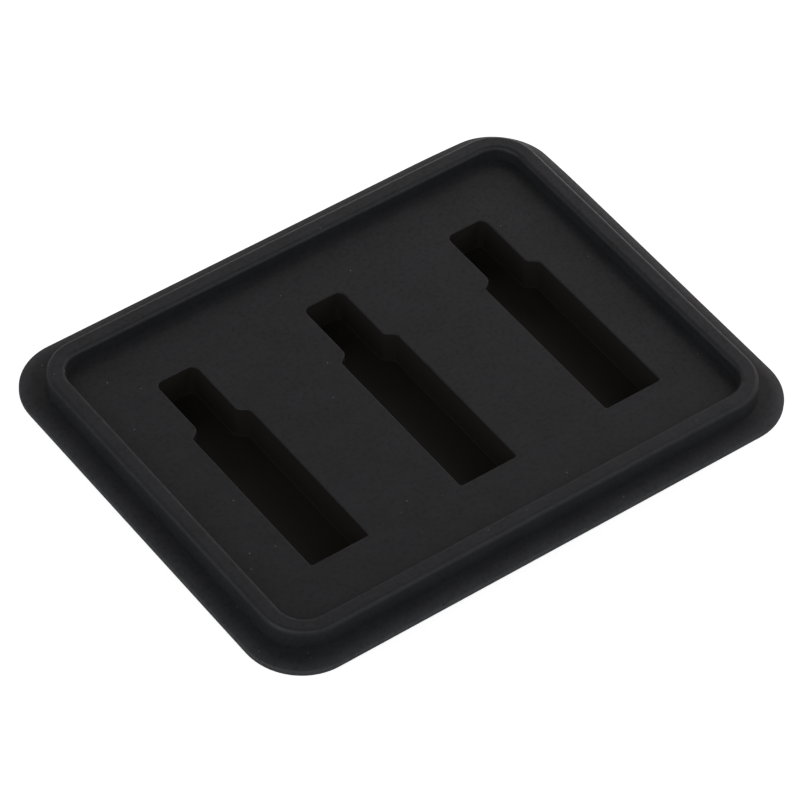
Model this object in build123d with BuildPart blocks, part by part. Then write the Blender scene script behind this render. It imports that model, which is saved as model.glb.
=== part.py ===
"""Pick holder: a soft flanged tray with three bottle-shaped pockets.

The tray is a rubber moulding whose pockets run right through it.  A stiff base
plate, let into a rebate in its underside, closes the pockets: three raised lands
on the plate plug them from below and are their floors.  A foam adhesive pad under
the plate holds the tray down.

X runs along the tray, Y across it towards the pocket necks, and Z up.  The origin
is the centre of the face that the tray rests on, the underside of the pad.
"""

from build123d import *
from math import atan2, degrees, radians, tan
import os

# ---------------------------------------------------------------- dimensions, mm

# flange round the tray, thin at its edge and thicker at the bead
tray_length = 99.6
tray_width = 76.3
tray_corner = 9.8
flange_edge = 0.8
flange_rise = 0.5
flange_edge_break = 0.12

# bead that stands on the flange, and the panel that it frames
bead_inset = 3.6
bead_corner = 7.4
bead_draft = 3.5
bead_crest = 2.9
bead_height = 4.7
bead_outer_round = 0.7
bead_inner_round = 0.7
panel_height = 2.35
panel_foot_round = 0.15

# plug under the flange, which holds the pockets
plug_inset = 5.0
plug_corner = 6.0
plug_draft = 2.0
plug_root_round = 0.8
plug_foot_round = 0.4

# bottle-shaped pockets, three in a row
pocket_count = 3
pocket_pitch = 27.9
pocket_depth = 6.0
pocket_foot_y = -21.65
pocket_head_y = 21.2
body_width = 10.65
neck_width = 7.25
shoulder_low_y = 8.75
shoulder_high_y = 9.95
body_corner = 0.4
shoulder_corner = 0.5
neck_root_round = 1.4
neck_corner = 1.2
pocket_rim_break = 0.1

# base plate, with a land that plugs each pocket
plate_length = 82.0
plate_width = 58.0
plate_corner = 4.0
plate_thickness = 1.2
plate_gap = 0.1
land_height = 0.6
land_gap = 0.05
land_edge_break = 0.15

# adhesive pad, stuck to the underside of the base plate
pad_length = 70.0
pad_width = 46.0
pad_corner = 3.0
pad_thickness = 0.5

# ---------------------------------------------------------------- levels along Z

plate_bottom = pad_thickness
plate_top = plate_bottom + plate_thickness
pocket_floor = plate_top + land_height
panel_top = pocket_floor + pocket_depth
flange_bottom = panel_top - panel_height
flange_edge_top = flange_bottom + flange_edge
bead_root = flange_edge_top + flange_rise
bead_top = flange_bottom + bead_height

# ---------------------------------------------------------------- bead

bead_length = tray_length - 2 * bead_inset
bead_width = tray_width - 2 * bead_inset

bead_lean = (bead_top - bead_root) * tan(radians(bead_draft))
well_lean = (bead_top - panel_top) * tan(radians(bead_draft))
well_inset = bead_lean + bead_crest + well_lean

# ---------------------------------------------------------------- pocket outline

with BuildSketch() as pocket_outline:
    with BuildLine():
        Polyline(
            (0, pocket_foot_y),
            (body_width / 2, pocket_foot_y),
            (body_width / 2, shoulder_low_y),
            (neck_width / 2, shoulder_high_y),
            (neck_width / 2, pocket_head_y),
            (0, pocket_head_y),
        )
        mirror(about=Plane.YZ)
    make_face()
    # corners are rounded from the head down, so that the lower groups keep their order
    fillet(pocket_outline.vertices().group_by(Axis.Y)[3], neck_corner)
    fillet(pocket_outline.vertices().group_by(Axis.Y)[2], neck_root_round)
    fillet(pocket_outline.vertices().group_by(Axis.Y)[1], shoulder_corner)
    fillet(pocket_outline.vertices().group_by(Axis.Y)[0], body_corner)

# ---------------------------------------------------------------- tray moulding

with BuildPart() as tray_moulding:
    # flange, flat below, with a top that falls away from the bead to a thin edge
    with BuildSketch(Plane.XY.offset(flange_bottom)):
        RectangleRounded(tray_length, tray_width, tray_corner)
    extrude(amount=flange_edge)
    with BuildSketch(Plane.XY.offset(flange_edge_top)):
        RectangleRounded(tray_length, tray_width, tray_corner)
    extrude(amount=flange_rise, taper=degrees(atan2(bead_inset, flange_rise)))
    chamfer(tray_moulding.edges().group_by(Axis.Z)[-3], flange_edge_break)

    # bead, raised as a solid block and then sunk to the panel
    with BuildSketch(Plane.XY.offset(bead_root)):
        RectangleRounded(bead_length, bead_width, bead_corner)
    extrude(amount=bead_top - bead_root, taper=bead_draft)
    with BuildSketch(Plane.XY.offset(panel_top)):
        RectangleRounded(
            bead_length - 2 * well_inset,
            bead_width - 2 * well_inset,
            bead_corner - well_inset,
        )
    extrude(amount=bead_top - panel_top, taper=-bead_draft, mode=Mode.SUBTRACT)

    # the bead's crest is the highest face: round its outer edge, then its inner edge
    crest = tray_moulding.faces().sort_by(Axis.Z)[-1]
    fillet(crest.outer_wire().edges(), bead_outer_round)
    crest = tray_moulding.faces().sort_by(Axis.Z)[-1]
    fillet(crest.inner_wires()[0].edges(), bead_inner_round)

    # hollow round where the bead meets the panel, the second level face from the top
    panel = tray_moulding.faces().filter_by(Plane.XY).group_by(Axis.Z)[-2][0]
    fillet(panel.outer_wire().edges(), panel_foot_round)

    # plug under the flange, drawn in towards its foot
    with BuildSketch(Plane.XY.offset(flange_bottom)):
        RectangleRounded(
            tray_length - 2 * plug_inset,
            tray_width - 2 * plug_inset,
            plug_corner,
        )
    extrude(amount=plate_bottom - flange_bottom, taper=plug_draft)
    underside = tray_moulding.faces().filter_by(Plane.XY).sort_by(Axis.Z)
    fillet(underside[0].outer_wire().edges(), plug_foot_round)
    underside = tray_moulding.faces().filter_by(Plane.XY).sort_by(Axis.Z)
    fillet(underside[1].inner_wires()[0].edges(), plug_root_round)

    # rebate for the base plate
    with BuildSketch(Plane.XY.offset(plate_bottom)):
        RectangleRounded(
            plate_length + 2 * plate_gap,
            plate_width + 2 * plate_gap,
            plate_corner + plate_gap,
        )
    extrude(amount=plate_thickness, mode=Mode.SUBTRACT)

    # pockets, right through from the rebate to the panel, with their rims eased
    with BuildSketch(Plane.XY.offset(plate_top)):
        with GridLocations(pocket_pitch, 0, pocket_count, 1):
            add(pocket_outline.sketch)
    extrude(amount=panel_top - plate_top, mode=Mode.SUBTRACT)
    panel = tray_moulding.faces().filter_by(Plane.XY).group_by(Axis.Z)[-2][0]
    chamfer(panel.inner_wires().edges(), pocket_rim_break)

tray_moulding.part.label = "tray_moulding"

# ---------------------------------------------------------------- base plate

with BuildPart() as base_plate:
    with BuildSketch(Plane.XY.offset(plate_bottom)):
        RectangleRounded(plate_length, plate_width, plate_corner)
    extrude(amount=plate_thickness)

    # lands that plug the pockets
    with BuildSketch(Plane.XY.offset(plate_top)) as lands:
        with GridLocations(pocket_pitch, 0, pocket_count, 1):
            add(pocket_outline.sketch)
        offset(amount=-land_gap, mode=Mode.REPLACE)
    extrude(amount=land_height)
    chamfer(base_plate.edges().group_by(Axis.Z)[-1], land_edge_break)

base_plate.part.label = "base_plate"

# ---------------------------------------------------------------- adhesive pad

with BuildPart() as adhesive_pad:
    with BuildSketch():
        RectangleRounded(pad_length, pad_width, pad_corner)
    extrude(amount=pad_thickness)

adhesive_pad.part.label = "adhesive_pad"

# ---------------------------------------------------------------- files

os.makedirs("parts", exist_ok=True)
export_step(tray_moulding.part, "parts/tray_moulding.step")
export_step(base_plate.part, "parts/base_plate.step")
export_step(adhesive_pad.part, "parts/adhesive_pad.step")
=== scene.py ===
import math

import bmesh
import bpy
from bpy.props import FloatProperty, FloatVectorProperty, IntProperty, PointerProperty
from mathutils import Matrix, Vector


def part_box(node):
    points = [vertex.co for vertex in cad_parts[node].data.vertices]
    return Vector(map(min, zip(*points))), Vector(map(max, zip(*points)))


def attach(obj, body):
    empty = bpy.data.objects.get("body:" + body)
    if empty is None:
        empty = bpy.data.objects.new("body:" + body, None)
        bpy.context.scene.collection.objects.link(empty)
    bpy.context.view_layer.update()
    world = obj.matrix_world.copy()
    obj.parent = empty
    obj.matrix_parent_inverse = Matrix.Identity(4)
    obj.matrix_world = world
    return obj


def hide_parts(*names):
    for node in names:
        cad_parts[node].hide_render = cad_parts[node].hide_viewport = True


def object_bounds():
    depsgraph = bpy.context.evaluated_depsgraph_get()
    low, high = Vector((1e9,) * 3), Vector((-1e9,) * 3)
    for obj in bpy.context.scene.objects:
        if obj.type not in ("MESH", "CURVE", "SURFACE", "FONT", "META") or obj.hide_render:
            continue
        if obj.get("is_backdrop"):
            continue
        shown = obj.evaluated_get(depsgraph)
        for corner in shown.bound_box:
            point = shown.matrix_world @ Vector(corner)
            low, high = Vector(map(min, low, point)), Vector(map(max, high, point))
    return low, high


bl_info = {
    "name": "Pick Holder",
    "version": (1, 0, 0),
    "blender": (4, 5, 0),
    "location": "3D View > Sidebar > Pick Holder",
    "description": "Models the rubber tray, base plate and foam pad of a pick holder round their frame",
    "category": "Object",
}

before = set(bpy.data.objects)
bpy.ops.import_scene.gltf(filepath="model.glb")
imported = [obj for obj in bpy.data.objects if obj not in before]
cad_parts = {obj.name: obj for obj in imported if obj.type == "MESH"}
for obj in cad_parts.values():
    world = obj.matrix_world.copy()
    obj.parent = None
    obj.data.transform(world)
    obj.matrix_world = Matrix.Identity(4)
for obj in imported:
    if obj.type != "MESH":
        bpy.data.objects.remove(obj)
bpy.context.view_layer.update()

BODY = "root"
MM = 0.001
ARC_STEPS = 20  # facets in a quarter turn of an outline corner
ROUND_STEPS = 8  # facets across a rounded edge
POCKET_STEPS = 8  # facets across a rounded corner of a pocket
ROUND_PROFILE = 0.5  # profile of a bevel that is part of a circle
HOLD = 0.1 * MM  # strip kept flat beside each rounded edge, so that the flats shade flat
LAST_RING = 3 * HOLD  # flat ring between the last edge of a face and the fill of its middle
SHADED_RECESS = "recess"  # marks the pockets' walls, which take a darker colour there as painted shade
EDGE_GLINT = "edge"  # marks how near the flange's edge a place is; the skin is painted paler there as a painted highlight
EDGE_FALLOFF = 3  # the power by which that nearness falls away from the edge
CREASE = math.radians(30)  # edges sharper than this stay sharp when the rest is shaded smooth
HANG_CUTS = 4  # cuts along each side of the corner that hangs
CUT_SNAP = HOLD / 10  # a cut that passes this near a corner goes through it
FLOOR_GAP = 0.05 * MM  # keeps a floor out of the plane of the faces that lie on it

# Patterns of the finishes
NOISE_LOW = 0.3  # noise runs from nought to one, but mostly between these two
NOISE_HIGH = 0.7
CLOUD_DETAIL = 4.0
CLOUD_ROUGHNESS = 0.6
SPOT_DETAIL = 3.0
GRAIN_DETAIL = 2.0
SPOT_MIDDLE = 0.35  # noise at and below which a spot is darkest
SPOT_RIM = 0.5  # noise where a spot ends
SPOT_DEPTH = 2  # depth of the spots, in depths of the grain
DUST_START = 0.5  # dust lies only where the clouds are paler than this ...
DUST_FULL = 0.55  # ... and at its thickest from here
SPECK_CORE = 0.5  # share of a speck's radius inside which it is all dust
SPECK_CHOICE = 0.99  # how sharply the places with a speck are told from those without
SKIN_SHEEN = 0.04  # how far the rubber's roughness changes from place to place
PLASTIC_SHEEN = 0.05  # the same for the plastic
PIT_MIDDLE = 0.2  # a pit is flat this far out from its cell's middle, in cells ...
PIT_WALL = 0.8  # ... and its wall is full height from here
PIT_DEPTH = 0.03 * MM
# how much paler the foam's cell walls are than its pits; the darker pits are painted shade
WALL_PALENESS = 1.6
FOAM_ROUGHNESS = 0.9

# Colour sockets of a mix node, which share their names with its other sockets
MIX_FIRST = 6
MIX_SECOND = 7
MIX_RESULT = 2

# Colours of the light: the front lamps are neutral, the ones behind a little warmer
PLAIN = (1.0, 1.0, 1.0)
WARM = (1.0, 0.92, 0.93)

# Softboxes: name, degrees round from the camera, degrees up, metres off, side in metres,
# brightness, colour
SOFTBOXES = (
    ("high_front_softbox", 0, 48, 1.0, 0.8, 0.75, PLAIN),
    ("front_left_softbox", -50, 25, 1.0, 0.9, 1.05, PLAIN),
    ("front_right_softbox", 50, 25, 1.0, 0.9, 0.5, PLAIN),
    ("right_softbox", 90, 30, 0.8, 0.5, 0.75, PLAIN),
    ("back_right_softbox", 135, 30, 0.6, 0.35, 1.15, WARM),
    ("low_back_softbox", 165, 10, 0.5, 0.16, 1.1, WARM),
    ("back_softbox", 180, 28, 0.6, 0.35, 0.6, WARM),
    ("back_left_softbox", -135, 30, 0.8, 0.5, 0.6, WARM),
)


# ------------------------------------------------------------------ sizes and finishes


class TrayShape(bpy.types.PropertyGroup):
    """Sizes of the rubber moulding; its length, width and height come from the frame"""

    flange_thickness: FloatProperty(
        name="Flange Thickness",
        description="Thickness of the thin rim that rests on the cut-out's edge",
        default=0.8 * MM,
        unit="LENGTH",
    )
    flange_rise: FloatProperty(
        name="Flange Rise",
        description="Height of the flange's top at the bead above its top at the edge",
        default=0.5 * MM,
        unit="LENGTH",
    )
    flange_corner: FloatProperty(
        name="Flange Corner",
        description="Radius of the flange's corners in plan",
        default=9.8 * MM,
        unit="LENGTH",
    )
    flange_edge: FloatProperty(
        name="Flange Edge",
        description="Round along the flange's top edge",
        default=0.22 * MM,
        unit="LENGTH",
    )
    shoulder_inset: FloatProperty(
        name="Shoulder Inset",
        description="From the flange's edge to where its top starts to fall away faster",
        default=1.5 * MM,
        unit="LENGTH",
    )
    shoulder_rise: FloatProperty(
        name="Shoulder Rise",
        description="Height of that shoulder above the flange's top at its edge",
        default=0.4 * MM,
        unit="LENGTH",
    )
    shoulder_round: FloatProperty(
        name="Shoulder Round",
        description="How far the soft round of that shoulder reaches to each side",
        default=0.7 * MM,
        unit="LENGTH",
    )
    bead_inset: FloatProperty(
        name="Bead Inset",
        description="From the flange's edge to the root of the bead's outer wall",
        default=3.6 * MM,
        unit="LENGTH",
    )
    bead_corner: FloatProperty(
        name="Bead Corner",
        description="Radius of the bead's outer corners in plan, at its root",
        default=7.4 * MM,
        unit="LENGTH",
    )
    bead_draft: FloatProperty(
        name="Bead Draft",
        description="Lean of the bead's outer and inner walls",
        default=math.radians(3.5),
        subtype="ANGLE",
    )
    bead_wall: FloatProperty(
        name="Bead Wall",
        description="Width of the bead's crest, before its edges are rounded",
        default=2.9 * MM,
        unit="LENGTH",
    )
    bead_rise: FloatProperty(
        name="Bead Rise",
        description="Height of the bead's crest above the flange's top at its edge",
        default=3.9 * MM,
        unit="LENGTH",
    )
    bead_outer: FloatProperty(
        name="Bead Outer Round",
        description="Round on the outer edge of the crest",
        default=0.7 * MM,
        unit="LENGTH",
    )
    bead_inner: FloatProperty(
        name="Bead Inner Round",
        description="Round on the inner edge of the crest",
        default=0.7 * MM,
        unit="LENGTH",
    )
    panel_drop: FloatProperty(
        name="Panel Drop",
        description="Depth of the panel below the crest",
        default=2.35 * MM,
        unit="LENGTH",
    )
    hang: FloatProperty(
        name="Hang",
        description="How far the soft flange hangs at its far corner",
        default=0.52 * MM,
        unit="LENGTH",
    )
    hang_reach: FloatProperty(
        name="Hang Reach",
        description="How far from that corner the flange starts to hang",
        default=16.0 * MM,
        unit="LENGTH",
    )
    plug_inset: FloatProperty(
        name="Plug Inset",
        description="From the flange's edge to the root of the plug below it",
        default=5.0 * MM,
        unit="LENGTH",
    )
    plug_corner: FloatProperty(
        name="Plug Corner",
        description="Radius of the plug's corners at its root",
        default=6.0 * MM,
        unit="LENGTH",
    )
    plug_draft: FloatProperty(
        name="Plug Draft",
        description="Lean of the plug's sides, drawn in towards its foot",
        default=math.radians(2),
        subtype="ANGLE",
    )
    plug_root: FloatProperty(
        name="Plug Root",
        description="Hollow round between the plug and the flange",
        default=0.8 * MM,
        unit="LENGTH",
    )
    plug_foot: FloatProperty(
        name="Plug Foot",
        description="Round on the plug's lower edge",
        default=0.4 * MM,
        unit="LENGTH",
    )
    rebate_gap: FloatProperty(
        name="Rebate Gap",
        description="Clearance round the base plate in its rebate",
        default=0.1 * MM,
        unit="LENGTH",
    )
    rebate_corner: FloatProperty(
        name="Rebate Corner",
        description="Radius of the rebate's corners in plan",
        default=4.1 * MM,
        unit="LENGTH",
    )
    rebate_depth: FloatProperty(
        name="Rebate Depth",
        description="Depth of the rebate that takes the base plate",
        default=1.2 * MM,
        unit="LENGTH",
    )


class PocketShape(bpy.types.PropertyGroup):
    """Sizes of the bottle-shaped pockets, a wide body with a narrow neck towards +Y"""

    count: IntProperty(
        name="Pockets",
        description="Number of pockets in the row",
        default=3,
        min=1,
    )
    pitch: FloatProperty(
        name="Pitch",
        description="Distance from one pocket's middle to the next",
        default=27.9 * MM,
        unit="LENGTH",
    )
    foot_y: FloatProperty(
        name="Foot",
        description="Where the body ends",
        default=-21.65 * MM,
        unit="LENGTH",
    )
    head_y: FloatProperty(
        name="Head",
        description="Where the neck ends",
        default=21.2 * MM,
        unit="LENGTH",
    )
    shoulder_low_y: FloatProperty(
        name="Shoulder Start",
        description="Where the body starts to narrow",
        default=8.75 * MM,
        unit="LENGTH",
    )
    shoulder_high_y: FloatProperty(
        name="Shoulder End",
        description="Where the neck starts",
        default=9.95 * MM,
        unit="LENGTH",
    )
    body_width: FloatProperty(
        name="Body Width",
        description="Width of the wide part",
        default=10.65 * MM,
        unit="LENGTH",
    )
    neck_width: FloatProperty(
        name="Neck Width",
        description="Width of the narrow part",
        default=7.25 * MM,
        unit="LENGTH",
    )
    body_corner: FloatProperty(
        name="Body Corner",
        description="Radius of the two corners at the foot",
        default=0.4 * MM,
        unit="LENGTH",
    )
    shoulder_corner: FloatProperty(
        name="Shoulder Corner",
        description="Radius where the body turns into the shoulder",
        default=0.5 * MM,
        unit="LENGTH",
    )
    neck_root: FloatProperty(
        name="Neck Root",
        description="Radius where the shoulder turns into the neck",
        default=1.4 * MM,
        unit="LENGTH",
    )
    neck_corner: FloatProperty(
        name="Neck Corner",
        description="Radius of the two corners at the head",
        default=1.2 * MM,
        unit="LENGTH",
    )
    rim_round: FloatProperty(
        name="Rim Round",
        description="Round along each pocket's rim",
        default=0.22 * MM,
        unit="LENGTH",
    )
    lip: FloatProperty(
        name="Lip",
        description="How far the soft foot of the wall laps over the base plate's land",
        default=0.2 * MM,
        unit="LENGTH",
    )


class PadShape(bpy.types.PropertyGroup):
    """Sizes of the foam pad; its outline box comes from the frame"""

    corner: FloatProperty(
        name="Corner",
        description="Radius of the pad's corners in plan",
        default=3.0 * MM,
        unit="LENGTH",
    )
    edge: FloatProperty(
        name="Edge",
        description="Soft round along the cut edges of the foam",
        default=0.2 * MM,
        unit="LENGTH",
    )


class RubberFinish(bpy.types.PropertyGroup):
    """Matte black silicone rubber"""

    colour: FloatVectorProperty(
        name="Colour",
        description="Colour of the moulded skin",
        default=(0.0202, 0.0216, 0.0244),
        subtype="COLOR",
        min=0,
        max=1,
    )
    # Painted shade: the pockets' walls take this darker colour in place of the skin's
    recess_shade: FloatVectorProperty(
        name="Recess Colour",
        description="Colour inside the pockets, where the skin has no bloom",
        default=(0.021, 0.019, 0.0165),
        subtype="COLOR",
        min=0,
        max=1,
    )
    # Painted highlight: the flat top of the crest is painted paler, standing in for the light it
    # catches
    crest_highlight: FloatProperty(
        name="Highlight",
        description="How much paler the lit crest of the bead is than the rest",
        default=0.35,
        subtype="FACTOR",
    )
    # Painted highlight: the flange is painted paler towards its edge, standing in for the light it
    # catches
    edge_highlight: FloatProperty(
        name="Edge Wear",
        description="How much paler the rubbed upper edge of the flange is than the rest",
        default=1.6,
        subtype="FACTOR",
    )
    roughness: FloatProperty(
        name="Roughness",
        description="Mean roughness of the moulded skin",
        default=0.5,
        subtype="FACTOR",
        min=0,
        max=1,
    )
    bloom: FloatProperty(
        name="Bloom",
        description="Size of the faint paler and darker clouds on the skin",
        default=5.0 * MM,
        unit="LENGTH",
    )
    bloom_change: FloatProperty(
        name="Bloom Change",
        description="How much lighter or darker those clouds are",
        default=0.15,
        subtype="FACTOR",
    )
    mottle: FloatProperty(
        name="Mottle",
        description="Size of the small darker spots on the skin",
        default=0.7 * MM,
        unit="LENGTH",
    )
    mottle_change: FloatProperty(
        name="Mottle Change",
        description="How much darker those spots are",
        default=0.3,
        subtype="FACTOR",
    )
    grain: FloatProperty(
        name="Grain",
        description="Size of the fine grain of the mould",
        default=0.2 * MM,
        unit="LENGTH",
    )
    grain_depth: FloatProperty(
        name="Grain Depth",
        description="Height of that grain",
        default=0.004 * MM,
        unit="LENGTH",
    )
    dust: FloatProperty(
        name="Dust",
        description="Mean distance between places where a speck of dust may lie",
        default=1.8 * MM,
        unit="LENGTH",
    )
    dust_size: FloatProperty(
        name="Dust Size",
        description="Radius of a speck, as a share of that distance",
        default=0.07,
        subtype="FACTOR",
    )
    dust_share: FloatProperty(
        name="Dust Share",
        description="Share of those places that have a speck",
        default=0.4,
        subtype="FACTOR",
    )
    dust_colour: FloatVectorProperty(
        name="Dust Colour",
        description="Colour of the dust",
        default=(0.25, 0.25, 0.25),
        subtype="COLOR",
        min=0,
        max=1,
    )


class PlateFinish(bpy.types.PropertyGroup):
    """Black moulded plastic of the base plate"""

    colour: FloatVectorProperty(
        name="Colour",
        description="Colour of the plastic",
        default=(0.0095, 0.0085, 0.0058),
        subtype="COLOR",
        min=0,
        max=1,
    )
    roughness: FloatProperty(
        name="Roughness",
        description="Mean roughness of the plastic",
        default=0.55,
        subtype="FACTOR",
        min=0,
        max=1,
    )
    gloss: FloatProperty(
        name="Gloss",
        description="How much light the plastic reflects, where 0.5 is usual",
        default=0.35,
        subtype="FACTOR",
        min=0,
        max=1,
    )
    grain: FloatProperty(
        name="Grain",
        description="Size of the spark-eroded grain",
        default=0.2 * MM,
        unit="LENGTH",
    )
    grain_depth: FloatProperty(
        name="Grain Depth",
        description="Height of that grain",
        default=0.003 * MM,
        unit="LENGTH",
    )


class FoamFinish(bpy.types.PropertyGroup):
    """Charcoal foam of the adhesive pad"""

    colour: FloatVectorProperty(
        name="Colour",
        description="Colour of the foam",
        default=(0.05, 0.05, 0.052),
        subtype="COLOR",
        min=0,
        max=1,
    )
    cell: FloatProperty(
        name="Cell",
        description="Size of the foam's cells",
        default=0.3 * MM,
        unit="LENGTH",
    )


class StageLook(bpy.types.PropertyGroup):
    """Floor, lamps and camera"""

    camera_azimuth: FloatProperty(
        name="Azimuth",
        description="Turn of the camera about the vertical, from looking along +Y",
        default=math.radians(-39.675),
        subtype="ANGLE",
    )
    camera_elevation: FloatProperty(
        name="Elevation",
        description="Height of the camera above the horizon",
        default=math.radians(47.712),
        subtype="ANGLE",
    )
    camera_roll: FloatProperty(
        name="Roll",
        description="Lean of the camera about its own axis",
        default=math.radians(4.055),
        subtype="ANGLE",
    )
    camera_distance: FloatProperty(
        name="Distance",
        description="From the camera to the point that it looks at",
        default=782.7 * MM,
        unit="LENGTH",
    )
    camera_aim: FloatVectorProperty(
        name="Aim",
        description="The point that the camera looks at, from the middle of the tray's box",
        default=(-0.8 * MM, -0.44 * MM, 0.0),
        subtype="TRANSLATION",
    )
    camera_lens: FloatProperty(
        name="Lens",
        description="Focal length",
        default=229.365,
        unit="CAMERA",
    )
    floor_size: FloatProperty(
        name="Floor Size",
        description="Side of the square floor",
        default=6.0,
        unit="LENGTH",
    )
    floor_colour: FloatVectorProperty(
        name="Floor Colour",
        description="Colour of the floor",
        default=(0.8, 0.8, 0.8),
        subtype="COLOR",
        min=0,
        max=1,
    )
    floor_glow: FloatProperty(
        name="Floor Glow",
        description="How much brighter the floor looks, seen or reflected, where 1 is white",
        default=0.85,
        subtype="FACTOR",
        min=0,
        max=1,
    )
    sweep_start: FloatProperty(
        name="Sweep Start",
        description="Where the floor behind the tray starts to look bright in reflections",
        default=30.0 * MM,
        unit="LENGTH",
    )
    sweep_end: FloatProperty(
        name="Sweep End",
        description="Where the floor behind the tray looks fully bright in reflections",
        default=70.0 * MM,
        unit="LENGTH",
    )
    surroundings: FloatProperty(
        name="Surroundings",
        description="Brightness of the studio beyond the softboxes",
        default=0.03,
        subtype="FACTOR",
        min=0,
        max=1,
    )


# ------------------------------------------------------------------ modelling helpers


class Stop:
    """One rounded rectangle on the way round the tray's section, and the round at its edge."""

    def __init__(self, half_x, half_y, corner, level, edge_round=0.0):
        self.half_x = half_x
        self.half_y = half_y
        self.corner = corner
        self.level = level
        self.edge_round = edge_round

    def inset(self, distance, edge_round=0.0):
        """The same outline drawn in by a distance, with its corners about the same centres."""
        return Stop(
            self.half_x - distance,
            self.half_y - distance,
            self.corner - distance,
            self.level,
            edge_round,
        )

    def at_level(self, level, edge_round=0.0):
        """The same outline at another level."""
        return Stop(self.half_x, self.half_y, self.corner, level, edge_round)

    def centre(self, side_x, side_y):
        """The centre of one corner's arc."""
        across = side_x * (self.half_x - self.corner)
        along = side_y * (self.half_y - self.corner)
        return Vector((across, along, self.level))

    def gap(self, place):
        """How far a place lies outside the outline, in plan."""
        over_x = max(abs(place.x) - self.half_x + self.corner, 0)
        over_y = max(abs(place.y) - self.half_y + self.corner, 0)
        return math.hypot(over_x, over_y) - self.corner

    def towards(self, other, distance):
        """An outline that far along the straight way to another stop."""
        span = math.hypot(other.half_x - self.half_x, other.level - self.level)
        share = distance / span
        return Stop(
            self.half_x + (other.half_x - self.half_x) * share,
            self.half_y + (other.half_y - self.half_y) * share,
            self.corner + (other.corner - self.corner) * share,
            self.level + (other.level - self.level) * share,
        )


def round_corners(bm, corners, reaches, steps):
    """Rounds the corners of a flat face, each by its own reach, and returns the rounded face."""
    for corner, reach in zip(corners, reaches):
        rounded = bmesh.ops.bevel(
            bm,
            geom=[corner],
            offset=reach,
            offset_type="OFFSET",
            segments=steps,
            profile=ROUND_PROFILE,
            affect="VERTICES",
            material=-1,
        )
    return rounded["verts"][0].link_faces[0]


def lay_outline(bm, stop):
    """The edges of a stop's rounded rectangle."""
    place = Matrix.Translation((0, 0, stop.level)) @ Matrix.Diagonal((stop.half_x, stop.half_y, 1, 1))
    corners = bmesh.ops.create_grid(bm, x_segments=1, y_segments=1, size=1, matrix=place)["verts"]
    face = round_corners(bm, corners, [stop.corner] * len(corners), ARC_STEPS)
    edges = face.edges[:]
    bmesh.ops.delete(bm, geom=[face], context="FACES_ONLY")
    return edges


def extend(bm, edges, start, end):
    """Extrudes one stop's outline to the next and returns the new outline's edges."""
    extruded = bmesh.ops.extrude_edge_only(bm, edges=edges)["geom"]
    ring = [item for item in extruded if isinstance(item, bmesh.types.BMVert)]
    growth = end.corner / start.corner
    for side_x, side_y in ((-1, -1), (1, -1), (1, 1), (-1, 1)):
        quarter = [vert for vert in ring if vert.co.x * side_x > 0 and vert.co.y * side_y > 0]
        centre = start.centre(side_x, side_y)
        bmesh.ops.scale(bm, vec=(growth, growth, 1), space=Matrix.Translation(-centre), verts=quarter)
        bmesh.ops.translate(bm, vec=end.centre(side_x, side_y) - centre, verts=quarter)
    found = set(ring)
    outline = [item for item in extruded if isinstance(item, bmesh.types.BMEdge)]
    return [edge for edge in outline if found.issuperset(edge.verts)]


def with_holds(stops):
    """The stops, with a plain outline just past each round, which keeps the flats flat."""
    held = [stops[0]]
    for stop, following in zip(stops, stops[1:]):
        held.append(stop.towards(following, stop.edge_round + HOLD))
        held.append(following.towards(stop, following.edge_round + HOLD))
        held.append(following)
    return held


def skin(bm, stops):
    """Skins the stops one after another and returns the outline's edges at each of them."""
    loops = [lay_outline(bm, stops[0])]
    for start, end in zip(stops, stops[1:]):
        loops.append(extend(bm, loops[-1], start, end))
    return loops


def ease(bm, edges, reach):
    """Rounds a run of edges."""
    bmesh.ops.bevel(
        bm,
        geom=edges,
        offset=reach,
        offset_type="OFFSET",
        segments=ROUND_STEPS,
        profile=ROUND_PROFILE,
        affect="EDGES",
        material=-1,
    )


def ease_stops(bm, stops, loops):
    """Rounds the outlines of the stops that ask for a round."""
    for stop, loop in zip(stops, loops):
        if stop.edge_round:
            ease(bm, loop, stop.edge_round)


def smooth_step(share):
    """A share from nought to one that sets off and ends gently."""
    return share * share * (3 - 2 * share)


def hang_corner(bm, outline, root, hang, reach):
    """Lets the strip between two outlines hang at its corner towards +X and +Y."""
    diagonal = Vector((1, 1, 0)).normalized()
    tip = outline.centre(1, 1) + diagonal * outline.corner
    for axis in (Vector((1, 0, 0)), Vector((0, 1, 0))):
        for cut in range(HANG_CUTS):
            strip = [face for face in bm.faces if root.gap(face.calc_center_median()) > 0]
            near = tip - axis * reach * (cut + 1) / HANG_CUTS
            parts = {item for face in strip for item in (face, *face.edges, *face.verts)}
            bmesh.ops.bisect_plane(bm, geom=list(parts), dist=CUT_SNAP, plane_co=near, plane_no=axis)
    width = outline.half_x - root.half_x
    for vert in bm.verts:
        closeness = max(1 - (vert.co.xy - tip.xy).length / reach, 0)
        share = max(root.gap(vert.co), 0) / width
        vert.co.z -= hang * share * smooth_step(closeness)


def fill(bm, edges):
    """Fills the level face that lies between an outer loop and any inner ones."""
    bmesh.ops.triangle_fill(bm, use_beauty=True, use_dissolve=False, edges=edges, normal=(0, 0, 1))


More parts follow.
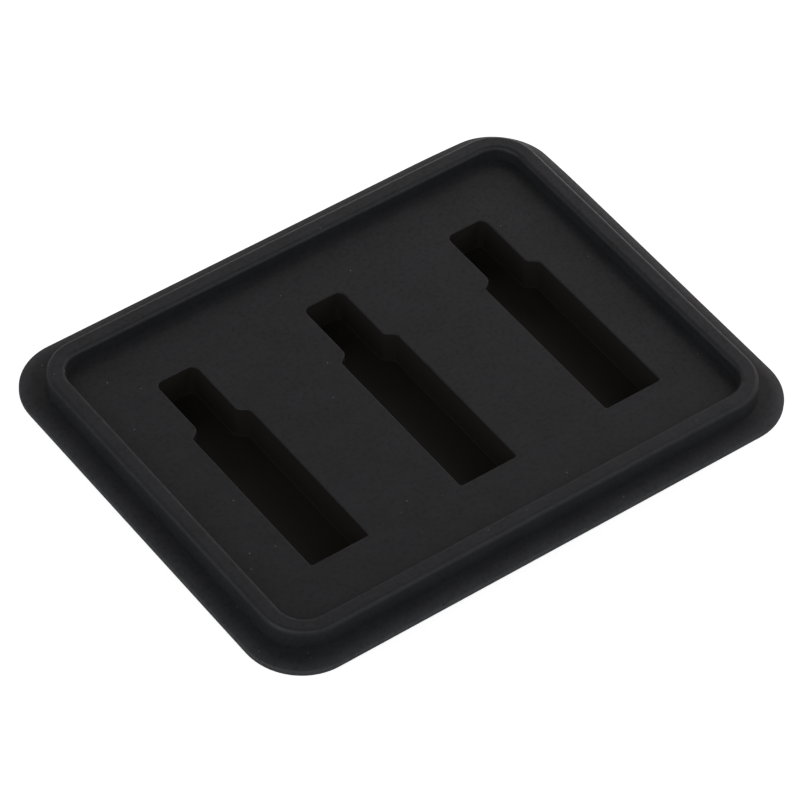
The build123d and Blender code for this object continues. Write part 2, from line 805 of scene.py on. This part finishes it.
def add_piece(bm, name, material, stands_for):
    """Closes a bmesh into a piece that rides on the tray's one body."""
    bmesh.ops.recalc_face_normals(bm, faces=bm.faces[:])
    if bm.calc_volume(signed=True) < 0:
        bmesh.ops.reverse_faces(bm, faces=bm.faces[:])
    for face in bm.faces:
        face.smooth = True
    for edge in bm.edges:
        edge.smooth = edge.calc_face_angle(0.0) < CREASE
    mesh = bpy.data.meshes.new(name)
    bm.to_mesh(mesh)
    bm.free()
    piece = bpy.data.objects.new(name, mesh)
    bpy.context.scene.collection.objects.link(piece)
    mesh.materials.append(material)
    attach(piece, BODY)
    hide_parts(stands_for)
    return piece


# ------------------------------------------------------------------ material helpers


class Finish:
    """A new material whose patterns all follow the piece's own coordinates."""

    def __init__(self, name):
        self.material = bpy.data.materials.new(name)
        self.material.use_nodes = True
        self.nodes = self.material.node_tree.nodes
        self.links = self.material.node_tree.links
        self.shader = self.nodes["Principled BSDF"]
        self.place = self.nodes.new("ShaderNodeTexCoord").outputs["Object"]

    def noise(self, size, detail, roughness=0.5):
        """Cloudy noise with features of about a size."""
        node = self.nodes.new("ShaderNodeTexNoise")
        node.inputs["Scale"].default_value = 1 / size
        node.inputs["Detail"].default_value = detail
        node.inputs["Roughness"].default_value = roughness
        self.links.new(self.place, node.inputs["Vector"])
        return node.outputs["Fac"]

    def cells(self, size):
        """Scattered cells of about a size."""
        node = self.nodes.new("ShaderNodeTexVoronoi")
        node.inputs["Scale"].default_value = 1 / size
        self.links.new(self.place, node.inputs["Vector"])
        return node

    def spread(self, value, low, high, to_low, to_high):
        """A value's range, held between low and high and set to another range."""
        node = self.nodes.new("ShaderNodeMapRange")
        node.inputs["From Min"].default_value = low
        node.inputs["From Max"].default_value = high
        node.inputs["To Min"].default_value = to_low
        node.inputs["To Max"].default_value = to_high
        self.links.new(value, node.inputs["Value"])
        return node.outputs["Result"]

    def height(self):
        """The height of each place on the piece."""
        node = self.nodes.new("ShaderNodeSeparateXYZ")
        self.links.new(self.place, node.inputs[0])
        return node.outputs["Z"]

    def combine(self, operation, first, second):
        """Two values put together; the second may be a plain number."""
        node = self.nodes.new("ShaderNodeMath")
        node.operation = operation
        self.links.new(first, node.inputs[0])
        if isinstance(second, bpy.types.NodeSocket):
            self.links.new(second, node.inputs[1])
        else:
            node.inputs[1].default_value = second
        return node.outputs[0]

    def product(self, first, second):
        """Two values multiplied."""
        return self.combine("MULTIPLY", first, second)

    def level_distance(self, turn):
        """How far each place lies along a level way that is turned from +Y."""
        node = self.nodes.new("ShaderNodeVectorMath")
        node.operation = "DOT_PRODUCT"
        node.inputs[1].default_value = (-math.sin(turn), math.cos(turn), 0)
        self.links.new(self.place, node.inputs[0])
        return node.outputs["Value"]

    def shade(self, colour, strength):
        """A colour made lighter or darker by a value."""
        node = self.nodes.new("ShaderNodeVectorMath")
        node.operation = "SCALE"
        node.inputs[0].default_value = colour
        self.links.new(strength, node.inputs["Scale"])
        return node.outputs[0]

    def marked(self, name):
        """The value that the mesh carries under a name."""
        node = self.nodes.new("ShaderNodeAttribute")
        node.attribute_name = name
        return node.outputs["Fac"]

    def specks(self, distance, size, share):
        """One inside small scattered specks and nought elsewhere."""
        cells = self.cells(distance)
        inside = self.spread(cells.outputs["Distance"], size, size * SPECK_CORE, 0, 1)
        chance = self.nodes.new("ShaderNodeSeparateColor")
        self.links.new(cells.outputs["Color"], chance.inputs[0])
        chosen = self.spread(chance.outputs[0], share, share * SPECK_CHOICE, 0, 1)
        return self.product(inside, chosen)

    def blend(self, share, first, second):
        """A colour between two, by share; each may be a colour or another node's output."""
        node = self.nodes.new("ShaderNodeMix")
        node.data_type = "RGBA"
        self.links.new(share, node.inputs["Factor"])
        for colour, socket in ((first, node.inputs[MIX_FIRST]), (second, node.inputs[MIX_SECOND])):
            if isinstance(colour, bpy.types.NodeSocket):
                self.links.new(colour, socket)
            else:
                socket.default_value = (*colour, 1)
        return node.outputs[MIX_RESULT]

    def bump(self, heights):
        """Chains bumps, each a height pattern and its depth, onto the shader's normal."""
        last = None
        for height, depth in heights:
            node = self.nodes.new("ShaderNodeBump")
            node.inputs["Distance"].default_value = depth
            self.links.new(height, node.inputs["Height"])
            if last is not None:
                self.links.new(last, node.inputs["Normal"])
            last = node.outputs["Normal"]
        self.links.new(last, self.shader.inputs["Normal"])

    def add_glow(self, strength):
        """Adds light of the surface's own to what it reflects."""
        glow = self.nodes.new("ShaderNodeEmission")
        both = self.nodes.new("ShaderNodeAddShader")
        self.links.new(strength, glow.inputs["Strength"])
        self.links.new(self.shader.outputs[0], both.inputs[0])
        self.links.new(glow.outputs[0], both.inputs[1])
        self.links.new(both.outputs[0], self.nodes["Material Output"].inputs["Surface"])


def rubber_finish(look, glint_from, glint_to):
    """Matte silicone: grain, spots, clouds, dust, painted shade in the pockets, and a painted highlight
    on the crest and along the flange's edge.
    """
    finish = Finish("matte_silicone")
    bloom = finish.noise(look.bloom, CLOUD_DETAIL, CLOUD_ROUGHNESS)
    mottle = finish.noise(look.mottle, SPOT_DETAIL)
    grain = finish.noise(look.grain, GRAIN_DETAIL)
    clouds = finish.spread(bloom, NOISE_LOW, NOISE_HIGH, 1 - look.bloom_change, 1 + look.bloom_change)
    spots = finish.spread(mottle, SPOT_MIDDLE, SPOT_RIM, 1 - look.mottle_change, 1)
    # painted highlight on the flat top of the crest
    crest_glint = finish.spread(finish.height(), glint_from, glint_to, 1, 1 + look.crest_highlight)
    # painted highlight, paler towards the flange's edge
    highlit = finish.spread(finish.marked(EDGE_GLINT), 0, 1, 1, 1 + look.edge_highlight)
    pattern = finish.product(clouds, spots)
    skin = finish.shade(look.colour, finish.product(pattern, finish.product(crest_glint, highlit)))
    # painted shade on the pockets' walls
    shaded_skin = finish.blend(finish.marked(SHADED_RECESS), skin, look.recess_shade)
    dusty = finish.spread(bloom, DUST_START, DUST_FULL, 0, 1)
    dust = finish.product(finish.specks(look.dust, look.dust_size, look.dust_share), dusty)
    colour = finish.blend(dust, shaded_skin, look.dust_colour)
    finish.links.new(colour, finish.shader.inputs["Base Color"])
    dull = look.roughness + SKIN_SHEEN
    sleek = look.roughness - SKIN_SHEEN
    rough = finish.spread(mottle, NOISE_LOW, NOISE_HIGH, dull, sleek)
    finish.links.new(rough, finish.shader.inputs["Roughness"])
    finish.bump([(mottle, look.grain_depth * SPOT_DEPTH), (grain, look.grain_depth)])
    return finish.material


def plate_finish(look):
    """Black moulded plastic with a fine spark-eroded grain."""
    finish = Finish("black_plastic")
    grain = finish.noise(look.grain, GRAIN_DETAIL)
    finish.shader.inputs["Base Color"].default_value = (*look.colour, 1)
    finish.shader.inputs["Specular IOR Level"].default_value = look.gloss
    sleek = look.roughness - PLASTIC_SHEEN
    dull = look.roughness + PLASTIC_SHEEN
    rough = finish.spread(grain, NOISE_LOW, NOISE_HIGH, sleek, dull)
    finish.links.new(rough, finish.shader.inputs["Roughness"])
    finish.bump([(grain, look.grain_depth)])
    return finish.material


def foam_finish(look):
    """Closed-cell foam: small pits, painted darker as shade, with paler walls between them."""
    finish = Finish("charcoal_foam")
    cells = finish.cells(look.cell)
    # painted shade: the pits are darker, the walls between them paler
    walls = finish.spread(cells.outputs["Distance"], PIT_MIDDLE, PIT_WALL, 0, 1)
    pale = [channel * WALL_PALENESS for channel in look.colour]
    finish.links.new(finish.blend(walls, look.colour, pale), finish.shader.inputs["Base Color"])
    finish.shader.inputs["Roughness"].default_value = FOAM_ROUGHNESS
    finish.bump([(walls, PIT_DEPTH)])
    return finish.material


def floor_finish(look):
    """Dull white that takes a shadow, looks white to the camera and, further back, in reflections."""
    finish = Finish("floor_white")
    finish.shader.inputs["Base Color"].default_value = (*look.floor_colour, 1)
    finish.shader.inputs["Roughness"].default_value = 1.0
    finish.shader.inputs["Specular IOR Level"].default_value = 0.0
    rays = finish.nodes.new("ShaderNodeLightPath").outputs
    away = finish.level_distance(look.camera_azimuth)
    behind = finish.spread(away, look.sweep_start, look.sweep_end, 0, 1)
    mirrored = finish.product(rays["Is Glossy Ray"], behind)
    seen = finish.combine("MAXIMUM", rays["Is Camera Ray"], mirrored)
    finish.add_glow(finish.product(seen, look.floor_glow))
    return finish.material


# ------------------------------------------------------------------ pieces


def pocket_corners(pocket, margin):
    """The corners (x, y, reach of the rounding) of a pocket's outline, set out by a margin."""
    half_body = pocket.body_width / 2
    half_neck = pocket.neck_width / 2
    lean = math.atan2(half_body - half_neck, pocket.shoulder_high_y - pocket.shoulder_low_y)
    bend = math.tan(lean / 2)
    right = [
        (half_body + margin, pocket.foot_y - margin, pocket.body_corner + margin),
        (
            half_body + margin,
            pocket.shoulder_low_y + margin * bend,
            (pocket.shoulder_corner + margin) * bend,
        ),
        (
            half_neck + margin,
            pocket.shoulder_high_y + margin * bend,
            (pocket.neck_root - margin) * bend,
        ),
        (half_neck + margin, pocket.head_y + margin, pocket.neck_corner + margin),
    ]
    return right + [(-x, y, reach) for x, y, reach in reversed(right)]


def sink_face(bm, face, level):
    """Extrudes a level face down to another level and returns the new face."""
    face = bmesh.ops.extrude_discrete_faces(bm, faces=[face])["faces"][0]
    for vert in face.verts:
        vert.co.z = level
    return face


def sink_pocket(bm, pocket, middle, panel, floor, ceiling):
    """Makes a pocket's rim, walls and foot lip and returns the edges of its mouth, rim and foot."""
    margin = pocket.rim_round + HOLD
    outline = pocket_corners(pocket, margin)
    corners = [bm.verts.new((middle + x, y, panel)) for x, y, reach in outline]
    bm.faces.new(corners)
    face = round_corners(bm, corners, [reach for x, y, reach in outline], POCKET_STEPS)
    inset = bmesh.ops.inset_region(
        bm, faces=[face], thickness=margin, use_even_offset=True, use_boundary=True
    )
    mouth = [edge for strip in inset["faces"] for edge in strip.edges if edge.is_boundary]
    rim = face.edges[:]
    for level in (panel - margin, floor + FLOOR_GAP):
        face = sink_face(bm, face, level)
    bmesh.ops.inset_region(
        bm, faces=[face], thickness=pocket.lip, use_even_offset=True, use_boundary=True
    )
    face = sink_face(bm, face, ceiling)
    foot = face.edges[:]
    bmesh.ops.delete(bm, geom=[face], context="FACES_ONLY")
    return mouth, rim, foot


class TraySection:
    """The outlines that the rubber moulding is skinned over, from its box and the base plate's."""

    def __init__(self, tray, low, high, plate_high):
        flange_top = high.z - tray.bead_rise
        underside = flange_top - tray.flange_thickness
        lean = math.tan(tray.bead_draft)
        self.rebate = Stop(
            plate_high.x + tray.rebate_gap,
            plate_high.y + tray.rebate_gap,
            tray.rebate_corner,
            low.z + tray.rebate_depth,
        )
        self.rebate_mouth = self.rebate.at_level(low.z)
        self.plug = Stop(
            high.x - tray.plug_inset,
            high.y - tray.plug_inset,
            tray.plug_corner,
            underside,
            tray.plug_root,
        )
        draw_in = (underside - low.z) * math.tan(tray.plug_draft)
        self.plug_foot = self.plug.inset(draw_in).at_level(low.z, tray.plug_foot)
        self.flange = Stop(high.x, high.y, tray.flange_corner, underside)
        self.flange_top = self.flange.at_level(flange_top, tray.flange_edge)
        shoulder = self.flange.inset(tray.shoulder_inset)
        self.shoulder = shoulder.at_level(flange_top + tray.shoulder_rise, tray.shoulder_round)
        self.bead = Stop(
            high.x - tray.bead_inset,
            high.y - tray.bead_inset,
            tray.bead_corner,
            flange_top + tray.flange_rise,
        )
        crest = self.bead.inset((high.z - self.bead.level) * lean)
        self.crest = crest.at_level(high.z, tray.bead_outer)
        self.well = self.crest.inset(tray.bead_wall, tray.bead_inner)
        self.panel = self.well.inset(tray.panel_drop * lean).at_level(high.z - tray.panel_drop)

    def stops(self):
        """The outlines in order, from the rebate's ceiling round the outside to the panel."""
        return [
            self.rebate,
            self.rebate_mouth,
            self.plug_foot,
            self.plug,
            self.flange,
            self.flange_top,
            self.shoulder,
            self.bead,
            self.crest,
            self.well,
            self.panel,
            self.panel.inset(LAST_RING),
        ]


def mesh_tray(bm, section, pocket, pocket_floor):
    """Skins the moulding, lets the pockets through it and rounds its edges."""
    held = with_holds(section.stops())
    loops = skin(bm, held)
    mouths = []
    rims = []
    feet = []
    for number in range(pocket.count):
        middle = (number - (pocket.count - 1) / 2) * pocket.pitch
        levels = (section.panel.level, pocket_floor, section.rebate.level)
        mouth, rim, foot = sink_pocket(bm, pocket, middle, *levels)
        mouths += mouth
        rims += rim
        feet += foot
    fill(bm, loops[-1] + mouths)
    fill(bm, loops[0] + feet)
    ease_stops(bm, held, loops)
    ease(bm, rims, pocket.rim_round)


def mark_skin(bm, section, rim_round, edge_reach):
    """Marks the pockets' walls for painted shade, and how near each place on the flange is to its edge
    for a painted highlight.
    """
    # painted shade goes on the pockets' walls
    recess = bm.verts.layers.float.new(SHADED_RECESS)
    for vert in bm.verts:
        if section.well.gap(vert.co) < 0 and vert.co.z < section.panel.level - rim_round:
            vert[recess] = 1
    # painted highlight grows towards the flange's edge
    edge = bm.verts.layers.float.new(EDGE_GLINT)
    for vert in bm.verts:
        nearness = 1 + section.flange.gap(vert.co) / edge_reach
        if nearness > 0 and vert.co.z > section.flange.level + HOLD:
            vert[edge] = nearness**EDGE_FALLOFF


class PICKHOLDER_OT_tray_moulding(bpy.types.Operator):
    """Model the rubber moulding: flange, bead, panel, plug and the pockets through it"""

    bl_idname = "pickholder.tray_moulding"
    bl_label = "Tray Moulding"

    def execute(self, context):
        tray = context.scene.pick_holder_tray
        pocket = context.scene.pick_holder_pocket
        low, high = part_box("tray_moulding")
        _, plate_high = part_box("base_plate")
        section = TraySection(tray, low, high, plate_high)
        bm = bmesh.new()
        mesh_tray(bm, section, pocket, plate_high.z)
        hang_corner(bm, section.flange, section.bead, tray.hang, tray.hang_reach)
        mark_skin(bm, section, pocket.rim_round, tray.bead_inset)
        # the top of the crest, from just below it, takes a painted highlight
        material = rubber_finish(context.scene.pick_holder_rubber, high.z - HOLD, high.z)
        add_piece(bm, "rubber_tray", material, "tray_moulding")
        return {"FINISHED"}


class PICKHOLDER_OT_base_plate(bpy.types.Operator):
    """Give the base plate its moulded plastic"""

    bl_idname = "pickholder.base_plate"
    bl_label = "Base Plate"

    def execute(self, context):
        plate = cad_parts["base_plate"]
        plate.data.materials.clear()
        plate.data.materials.append(plate_finish(context.scene.pick_holder_plastic))
        return {"FINISHED"}


class PICKHOLDER_OT_adhesive_pad(bpy.types.Operator):
    """Model the foam pad under the base plate"""

    bl_idname = "pickholder.adhesive_pad"
    bl_label = "Adhesive Pad"

    def execute(self, context):
        pad = context.scene.pick_holder_pad
        low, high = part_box("adhesive_pad")
        foot = Stop(high.x, high.y, pad.corner, low.z, pad.edge)
        top = foot.at_level(high.z, pad.edge)
        stops = [
            foot.inset(pad.edge + LAST_RING),
            foot,
            top,
            top.inset(pad.edge + LAST_RING),
        ]
        bm = bmesh.new()
        held = with_holds(stops)
        loops = skin(bm, held)
        fill(bm, loops[0])
        fill(bm, loops[-1])
        ease_stops(bm, held, loops)
        material = foam_finish(context.scene.pick_holder_foam)
        piece = add_piece(bm, "foam_pad", material, "adhesive_pad")
        return {"FINISHED"}


# ------------------------------------------------------------------ stage


def direction(turn, elevation):
    """The way towards a place turned about the vertical from -Y and raised from the horizon."""
    level = math.cos(elevation)
    return Vector((math.sin(turn) * level, -math.cos(turn) * level, math.sin(elevation)))


def add_lamp(name, target, away, distance, size, brightness, colour):
    """A square soft lamp that faces a point and is evenly as bright as asked for."""
    lamp = bpy.data.lights.new(name, "AREA")
    lamp.shape = "SQUARE"
    lamp.size = size
    lamp.energy = brightness * math.pi * size * size
    lamp.color = colour
    piece = bpy.data.objects.new(name, lamp)
    bpy.context.scene.collection.objects.link(piece)
    piece.location = target + away * distance
    piece.rotation_mode = "QUATERNION"
    piece.rotation_quaternion = away.to_track_quat("Z", "Y")
    piece.visible_camera = False


class PICKHOLDER_OT_stage(bpy.types.Operator):
    """Set the floor, the lamps and the camera"""

    bl_idname = "pickholder.stage"
    bl_label = "Stage"

    def execute(self, context):
        look = context.scene.pick_holder_stage
        low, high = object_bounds()
        middle = (low + high) / 2
        self.add_floor(look, low.z)
        self.add_lamps(look, middle)
        self.set_world(context.scene, look)
        self.add_camera(context.scene, look, middle)
        context.scene.view_settings.view_transform = "Standard"
        return {"FINISHED"}

    def add_floor(self, look, level):
        """A square floor just below the pad."""
        bm = bmesh.new()
        place = Matrix.Translation((0, 0, level - FLOOR_GAP))
        bmesh.ops.create_grid(bm, x_segments=1, y_segments=1, size=look.floor_size / 2, matrix=place)
        mesh = bpy.data.meshes.new("floor")
        bm.to_mesh(mesh)
        bm.free()
        mesh.materials.append(floor_finish(look))
        floor = bpy.data.objects.new("floor", mesh)
        bpy.context.scene.collection.objects.link(floor)
        floor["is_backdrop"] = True

    def add_lamps(self, look, middle):
        """The softboxes, placed round the tray from the camera's side."""
        for name, turn, elevation, distance, size, brightness, colour in SOFTBOXES:
            away = direction(look.camera_azimuth + math.radians(turn), math.radians(elevation))
            add_lamp(name, middle, away, distance, size, brightness, colour)

    def set_world(self, scene, look):
        """Dim surroundings that look white to the camera."""
        world = bpy.data.worlds.new("studio")
        scene.world = world
        world.use_nodes = True
        nodes = world.node_tree.nodes
        links = world.node_tree.links
        dim = nodes["Background"]
        dim.inputs["Color"].default_value = (1, 1, 1, 1)
        dim.inputs["Strength"].default_value = look.surroundings
        white = nodes.new("ShaderNodeBackground")
        white.inputs["Color"].default_value = (1, 1, 1, 1)
        rays = nodes.new("ShaderNodeLightPath").outputs
        mix = nodes.new("ShaderNodeMixShader")
        links.new(rays["Is Camera Ray"], mix.inputs[0])
        links.new(dim.outputs[0], mix.inputs[1])
        links.new(white.outputs[0], mix.inputs[2])
        links.new(mix.outputs[0], nodes["World Output"].inputs["Surface"])

    def add_camera(self, scene, look, middle):
        """The camera, turned about the tray and leant a little about its own axis."""
        data = bpy.data.cameras.new("camera")
        data.lens = look.camera_lens
        camera = bpy.data.objects.new("camera", data)
        scene.collection.objects.link(camera)
        scene.camera = camera
        back = direction(look.camera_azimuth, look.camera_elevation)
        lean = Matrix.Rotation(look.camera_roll, 3, "Z")
        turn = (-back).to_track_quat("-Z", "Y").to_matrix() @ lean
        camera.location = middle + Vector(look.camera_aim) + back * look.camera_distance
        camera.rotation_mode = "QUATERNION"
        camera.rotation_quaternion = turn.to_quaternion()


class PICKHOLDER_PT_parts(bpy.types.Panel):
    """The pick holder's pieces, in the order that they are made"""

    bl_idname = "PICKHOLDER_PT_parts"
    bl_label = "Pick Holder"
    bl_space_type = "VIEW_3D"
    bl_region_type = "UI"
    bl_category = "Pick Holder"

    def draw(self, context):
        for operator in OPERATORS:
            self.layout.operator(operator.bl_idname)


# ------------------------------------------------------------------ registration

OPERATORS = (
    PICKHOLDER_OT_tray_moulding,
    PICKHOLDER_OT_base_plate,
    PICKHOLDER_OT_adhesive_pad,
    PICKHOLDER_OT_stage,
)
GROUPS = {
    "pick_holder_tray": TrayShape,
    "pick_holder_pocket": PocketShape,
    "pick_holder_pad": PadShape,
    "pick_holder_rubber": RubberFinish,
    "pick_holder_plastic": PlateFinish,
    "pick_holder_foam": FoamFinish,
    "pick_holder_stage": StageLook,
}


def register():
    for group in GROUPS.values():
        bpy.utils.register_class(group)
    for name, group in GROUPS.items():
        setattr(bpy.types.Scene, name, PointerProperty(type=group))
    for operator in OPERATORS:
        bpy.utils.register_class(operator)
    bpy.utils.register_class(PICKHOLDER_PT_parts)


def unregister():
    bpy.utils.unregister_class(PICKHOLDER_PT_parts)
    for operator in reversed(OPERATORS):
        bpy.utils.unregister_class(operator)
    for name, group in reversed(GROUPS.items()):
        delattr(bpy.types.Scene, name)
        bpy.utils.unregister_class(group)


def main():
    """Makes the pieces and the stage."""
    register()
    bpy.ops.pickholder.tray_moulding()
    bpy.ops.pickholder.base_plate()
    bpy.ops.pickholder.adhesive_pad()
    bpy.ops.pickholder.stage()


if __name__ == "__main__":
    main()
